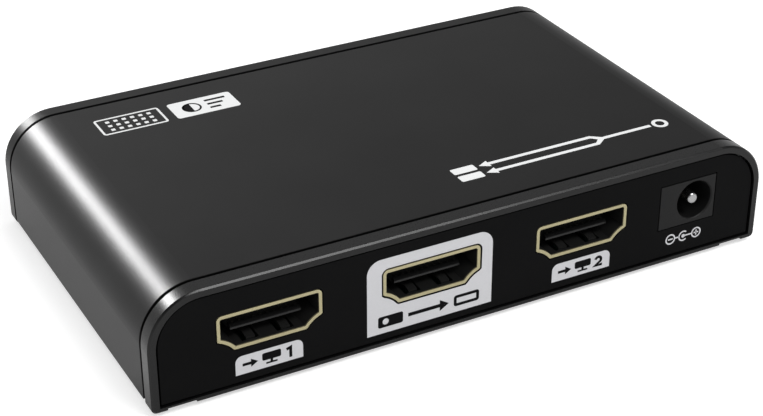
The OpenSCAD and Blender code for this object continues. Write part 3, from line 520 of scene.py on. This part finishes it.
def mouth_outline(node, grow):
    """Outer outline of a receptacle at its mouth, moved outwards."""
    mesh = frame["nodes"][node].data
    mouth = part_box(node)[0].y
    place = {
        v.index: (round(v.co.x / MM, 3), round(v.co.z / MM, 3))
        for v in mesh.vertices if v.co.y < mouth + TOUCHING * MM
    }
    sides = {}
    for face in mesh.polygons:
        corners = [place.get(k) for k in face.vertices]
        if None not in corners:
            for pair in zip(corners, corners[1:] + corners[:1]):
                sides.setdefault(frozenset(pair), []).append(pair)
    following = {pairs[0][0]: pairs[0][1] for pairs in sides.values() if len(pairs) == 1}
    loop = [min(following)]
    while following[loop[-1]] != loop[0]:
        loop.append(following[loop[-1]])
    points = [Vector(p) for p in loop]
    moved = []
    for k, point in enumerate(points):
        before, after = point - points[k - 1], points[(k + 1) % len(points)] - point
        along = (before.normalized() + after.normalized()).normalized()
        moved.append(tuple(point + Vector((along.y, -along.x)) * grow))
    return moved


printed("input_panel", [
    [panel(PANEL_LEFT, PANEL_LOW, PANEL_RIGHT, PANEL_HIGH, PANEL_R), mouth_outline("input_shell", PANEL_FIT)],
], on_ports, PORT_OUT, light_ink)
signs_middle = (SIGNS_LOW + SIGNS_HIGH) / 2
printed("input_marks", [
    [panel(PLAYER_LEFT, SIGNS_LOW, PLAYER_RIGHT, SIGNS_HIGH, PLAYER_R, PLAYER_R),
     circle((DISC_X, signs_middle), DISC_R)],
    arrow(INPUT_TAIL, INPUT_TIP, signs_middle, INPUT_LINE, INPUT_HEAD),
    frame_of(BOX_LEFT, SIGNS_LOW, BOX_RIGHT, SIGNS_HIGH, BOX_R, BOX_LINE),
], on_ports, PORT_OUT, dark_ink, layer=1)

# Power label: the usual sign for a plug with its positive pole in the middle
POLE_Z, POLE_R, POLE_LINE, POLE_SIGN = 4.2, 0.86, 0.22, 0.42
MINUS_X, SLEEVE_X, PLUS_X = 32.65, 34.93, 37.21
SLEEVE_OVERLAP, SLEEVE_START, SLEEVE_STOP = 0.1, 50, 310
DOT_R, DOT_OVERLAP = 0.3, 0.05
printed("power_marks", [
    ring((MINUS_X, POLE_Z), POLE_R, POLE_LINE),
    dash(MINUS_X - POLE_SIGN, MINUS_X + POLE_SIGN, POLE_Z, POLE_LINE),
    dash(MINUS_X + POLE_R, SLEEVE_X - POLE_R + SLEEVE_OVERLAP, POLE_Z, POLE_LINE),
    stroke(arc((SLEEVE_X, POLE_Z), POLE_R - POLE_LINE / 2, SLEEVE_START, SLEEVE_STOP, 24), POLE_LINE),
    [circle((SLEEVE_X, POLE_Z), DOT_R)],
    dash(SLEEVE_X + DOT_R - DOT_OVERLAP, PLUS_X - POLE_R, POLE_Z, POLE_LINE),
    ring((PLUS_X, POLE_Z), POLE_R, POLE_LINE),
    dash(PLUS_X - POLE_SIGN, PLUS_X + POLE_SIGN, POLE_Z, POLE_LINE),
    stroke([(PLUS_X, POLE_Z - POLE_SIGN), (PLUS_X, POLE_Z + POLE_SIGN)], POLE_LINE),
], on_ports, PORT_OUT, light_ink)

# Badges on the cover: an outlined one with a field of picture points, a solid one with a contrast sign
BADGE_LOW, BADGE_HIGH, BADGE_R, BADGE_LINE = 16.2, 21.36, 0.5, 0.34
POINTS_LEFT, POINTS_RIGHT = -36.33, -26.18
POINT, POINT_R, POINT_STEP, POINT_AT = 0.62, 0.1, 1.3, (-34.82, 17.17)
POINT_COLUMNS, POINT_ROWS = 6, 3
CONTRAST_LEFT, CONTRAST_RIGHT = -24.75, -14.61
SIGN_AT, SIGN_R, SIGN_RIM = (-21.6, 18.78), 1.5, 0.3
BARS_LEFT, BARS_RIGHT, BAR_SHORTER, BAR_STEP, BAR_LINE = -19.1, -15.8, 0.8, 1.25, 0.5
points = [
    [panel(x, y, x + POINT, y + POINT, POINT_R, POINT_R)]
    for x in (POINT_AT[0] + POINT_STEP * k for k in range(POINT_COLUMNS))
    for y in (POINT_AT[1] + POINT_STEP * k for k in range(POINT_ROWS))
]
points_rim = frame_of(POINTS_LEFT, BADGE_LOW, POINTS_RIGHT, BADGE_HIGH, BADGE_R, BADGE_LINE)
printed("points_badge", [points_rim] + points, on_top, TOP_OUT, white_ink)
printed("contrast_badge", [[panel(CONTRAST_LEFT, BADGE_LOW, CONTRAST_RIGHT, BADGE_HIGH, BADGE_R, BADGE_R)]],
        on_top, TOP_OUT, white_ink)
bars = [
    dash(BARS_LEFT, BARS_RIGHT - BAR_SHORTER * k, SIGN_AT[1] + BAR_STEP * (1 - k), BAR_LINE) for k in range(3)
]
printed("contrast_marks", [
    ring(SIGN_AT, SIGN_R, SIGN_RIM), [arc(SIGN_AT, SIGN_R - SIGN_RIM / 2, 90, 270, 20)], *bars,
], on_top, TOP_OUT, dark_ink, layer=1)

# Sign for one signal shared out to two displays, along the cover's front edge
FORK_Y, FORK_LINE, FORK_STEP, FORK_HEAD, FORK_BARB = -18.4, 0.64, 1.1, 1.6, 0.85
SOURCE_AT, SOURCE_R, SOURCE_LINE = (37.0, FORK_Y), 1.25, 0.55
TRUNK, CROTCH, BRANCH = 35.3, 27.0, 8.4
FORK_SLOPE, INNER_SLOPE, INNER_CROTCH = 1.5, 1.7, 0.9
DISPLAY_LEFT, DISPLAY_RIGHT, DISPLAY_HALF, DISPLAY_R = 2.47, 6.2, 0.8, 0.25
half_line = FORK_LINE / 2
outer_level, inner_level = FORK_STEP + half_line, FORK_STEP - half_line
upper = [
    (TRUNK, half_line), (CROTCH, half_line), (CROTCH - FORK_SLOPE, outer_level), (BRANCH, outer_level),
    (BRANCH, inner_level), (CROTCH - INNER_SLOPE, inner_level),
]
outline = upper + [(CROTCH - INNER_CROTCH, 0.0)] + [(x, -y) for x, y in reversed(upper)]
fork = [ring(SOURCE_AT, SOURCE_R, SOURCE_LINE), [[(x, FORK_Y + y) for x, y in outline]]]
for level in (FORK_Y - FORK_STEP, FORK_Y + FORK_STEP):
    fork.append([[(BRANCH, level - FORK_BARB), (BRANCH, level + FORK_BARB), (BRANCH - FORK_HEAD, level)]])
    fork.append([panel(DISPLAY_LEFT, level - DISPLAY_HALF, DISPLAY_RIGHT, level + DISPLAY_HALF,
                       DISPLAY_R, DISPLAY_R)])
printed("fork_marks", fork, on_top, TOP_OUT, white_ink)

# Signs under the status lenses, read from their own side: power, input, and the two outputs
POWER_X, ENTRY_X, FIRST_X, SECOND_X = -15, -5, 5, 15
LENS_SIGN_LOW, LENS_SIGN_TALL, LENS_LINE = 4.4, 1.7, 0.26
POWER_R, POWER_BAR = 0.68, 0.85
ENTRY_TAIL, ENTRY_TIP, ENTRY_LINE, ENTRY_HEAD, ENTRY_WALL = 1.6, 0.4, 0.34, 0.85, 1.3
FIRST_SHIFT, SECOND_SHIFT, FIGURE_LINE = 0.35, 0.5, 0.32
lens_sign_high = LENS_SIGN_LOW + LENS_SIGN_TALL
lens_sign_middle = LENS_SIGN_LOW + LENS_SIGN_TALL / 2
printed("indicator_marks", [
    stroke(arc((POWER_X, lens_sign_middle), POWER_R, 125, 415, 24), LENS_LINE),
    stroke([(POWER_X, lens_sign_middle), (POWER_X, lens_sign_middle + POWER_BAR)], LENS_LINE),
    arrow(ENTRY_X - ENTRY_TAIL, ENTRY_X + ENTRY_TIP, lens_sign_middle, ENTRY_LINE, ENTRY_HEAD),
    stroke([(ENTRY_X, lens_sign_high), (ENTRY_X + ENTRY_WALL, lens_sign_high),
            (ENTRY_X + ENTRY_WALL, LENS_SIGN_LOW), (ENTRY_X, LENS_SIGN_LOW)], LENS_LINE),
    *numeral(1, (FIRST_X - FIRST_SHIFT, LENS_SIGN_LOW), LENS_SIGN_TALL, FIGURE_LINE),
    *numeral(2, (SECOND_X - SECOND_SHIFT, LENS_SIGN_LOW), LENS_SIGN_TALL, FIGURE_LINE),
], on_indicators, INDICATOR_OUT, white_ink)

# Studio floor, in metres: its tones, what is added for the camera, and a glow for reflections only,
# which fades out sideways between two distances and starts behind the port end
FLOOR_HALF, FLOOR_LEVEL, FLOOR_GRAIN = 5.0, -0.00005, 6
FLOOR_TONES = ((0.3, (0.74, 0.74, 0.74)), (0.7, (0.76, 0.76, 0.76)))
FLOOR_LIFT = 0.55
SIDE_GLOW, GLOW_ASIDE, GLOW_BEHIND = 0.45, (0.05, 0.064), (-0.028, -0.018)

# Studio sky: the even fill, and what reflections see, graded from left to right as (place, share) and
# from the horizon up to a height, given as the upward part of a unit direction
WORLD_FILL = 0.7
SKY_SIDES = ((0.2, 0.41), (0.6, 0.98), (0.8, 0.53))
SKY_HEIGHT, SKY_LOW, SKY_HIGH = 0.685, 1.38, 0.2

# Studio lamps, in metres and watts
STRIP_AT, STRIP_SIZE, STRIP_POWER = (-0.24, 0.607, 0.329), (0.15, 0.5), 6.9
FILL_AT, FILL_SIZE, FILL_POWER = (0.25, -0.556, 0.86), (0.5, 0.3), 4.8


def add_floor():
    """Pale floor that shows the object's shadow from above, and is open to a view from below."""
    data = bpy.data.meshes.new("floor")
    corners = ((-1, -1), (1, -1), (1, 1), (-1, 1))
    data.from_pydata([(x * FLOOR_HALF, y * FLOOR_HALF, FLOOR_LEVEL) for x, y in corners], [], [(0, 1, 2, 3)])
    floor = bpy.data.objects.new("floor", data)
    bpy.context.scene.collection.objects.link(floor)
    made = Finish("floor", specular=0.0, Roughness=0.9, Emission_Color=WHITE)
    made.set("Base Color", made.ramp(made.noise(FLOOR_GRAIN, FINE_DETAIL), FLOOR_TONES))
    path = made.node("ShaderNodeLightPath").outputs
    beside = made.fade(made.math("ABSOLUTE", made.axis("X"), 0.0), *GLOW_ASIDE, SIDE_GLOW, 0.0)
    behind = made.fade(made.axis("Y"), *GLOW_BEHIND)
    mirrored = made.math("MAXIMUM", path["Is Glossy Ray"], path["Is Transmission Ray"])
    glow = made.math("MULTIPLY", mirrored, made.math("MULTIPLY", beside, behind))
    lift = made.math("MULTIPLY", path["Is Camera Ray"], FLOOR_LIFT)
    made.set("Emission Strength", made.math("MAXIMUM", glow, lift))
    under = made.node("ShaderNodeMixShader", {
        "Fac": made.node("ShaderNodeNewGeometry").outputs["Backfacing"], 1: made.shader.outputs["BSDF"],
        2: made.node("ShaderNodeBsdfTransparent").outputs["BSDF"],
    })
    made.feed(made.tree.nodes["Material Output"].inputs["Surface"], under.outputs["Shader"])
    data.materials.append(made.material)


def add_world():
    """White to the camera, an even fill for matte surfaces, and a graded sky for reflections."""
    world = bpy.data.worlds.new("studio")
    bpy.context.scene.world = world
    world.use_nodes = True
    nodes, links = world.node_tree.nodes, world.node_tree.links
    fill, sky, white = nodes["Background"], *(nodes.new("ShaderNodeBackground") for _ in range(2))
    fill.inputs["Color"].default_value = white.inputs["Color"].default_value = WHITE
    fill.inputs["Strength"].default_value = WORLD_FILL
    split = nodes.new("ShaderNodeSeparateXYZ")
    links.new(nodes.new("ShaderNodeTexCoord").outputs["Generated"], split.inputs[0])

    aside = nodes.new("ShaderNodeMapRange")
    links.new(split.outputs["X"], aside.inputs["Value"])
    aside.inputs["From Min"].default_value = -1.0
    ramp = nodes.new("ShaderNodeValToRGB")
    links.new(aside.outputs["Result"], ramp.inputs["Fac"])
    ramp.color_ramp.elements.new(0.5)
    for element, (position, share) in zip(ramp.color_ramp.elements, SKY_SIDES):
        element.position, element.color = position, (share, share, share, 1)
    links.new(ramp.outputs["Color"], sky.inputs["Color"])

    level = nodes.new("ShaderNodeMapRange")
    links.new(split.outputs["Z"], level.inputs["Value"])
    level.inputs["From Max"].default_value = SKY_HEIGHT
    level.inputs["To Min"].default_value = SKY_LOW
    level.inputs["To Max"].default_value = SKY_HIGH
    links.new(level.outputs["Result"], sky.inputs["Strength"])

    path = nodes.new("ShaderNodeLightPath")
    mirrored = nodes.new("ShaderNodeMath")
    mirrored.operation = "MAXIMUM"
    links.new(path.outputs["Is Glossy Ray"], mirrored.inputs[0])
    links.new(path.outputs["Is Transmission Ray"], mirrored.inputs[1])
    lit, seen = (nodes.new("ShaderNodeMixShader") for _ in range(2))
    links.new(mirrored.outputs["Value"], lit.inputs["Fac"])
    links.new(fill.outputs["Background"], lit.inputs[1])
    links.new(sky.outputs["Background"], lit.inputs[2])
    links.new(path.outputs["Is Camera Ray"], seen.inputs["Fac"])
    links.new(lit.outputs["Shader"], seen.inputs[1])
    links.new(white.outputs["Background"], seen.inputs[2])
    links.new(seen.outputs["Shader"], nodes["World Output"].inputs["Surface"])


def add_softbox(name, at, size, power, along):
    """Rectangular light that faces the object, its second side as near along as that allows."""
    data = bpy.data.lights.new(name, "AREA")
    data.shape, data.size, data.size_y, data.energy = "RECTANGLE", size[0], size[1], power
    lamp = bpy.data.objects.new(name, data)
    bpy.context.scene.collection.objects.link(lamp)
    back = Vector(at).normalized()
    across = Vector(along).cross(back).normalized()
    turn = Matrix((across, back.cross(across), back)).transposed()
    lamp.matrix_world = Matrix.Translation(at) @ turn.to_4x4()
    return lamp


add_world()
add_floor()
strip = add_softbox("edge_strip", STRIP_AT, STRIP_SIZE, STRIP_POWER, along=(0, 1, 0))
strip.visible_diffuse = False
add_softbox("front_fill", FILL_AT, FILL_SIZE, FILL_POWER, along=(0, 0, 1))

bpy.context.scene.view_settings.view_transform = "Standard"
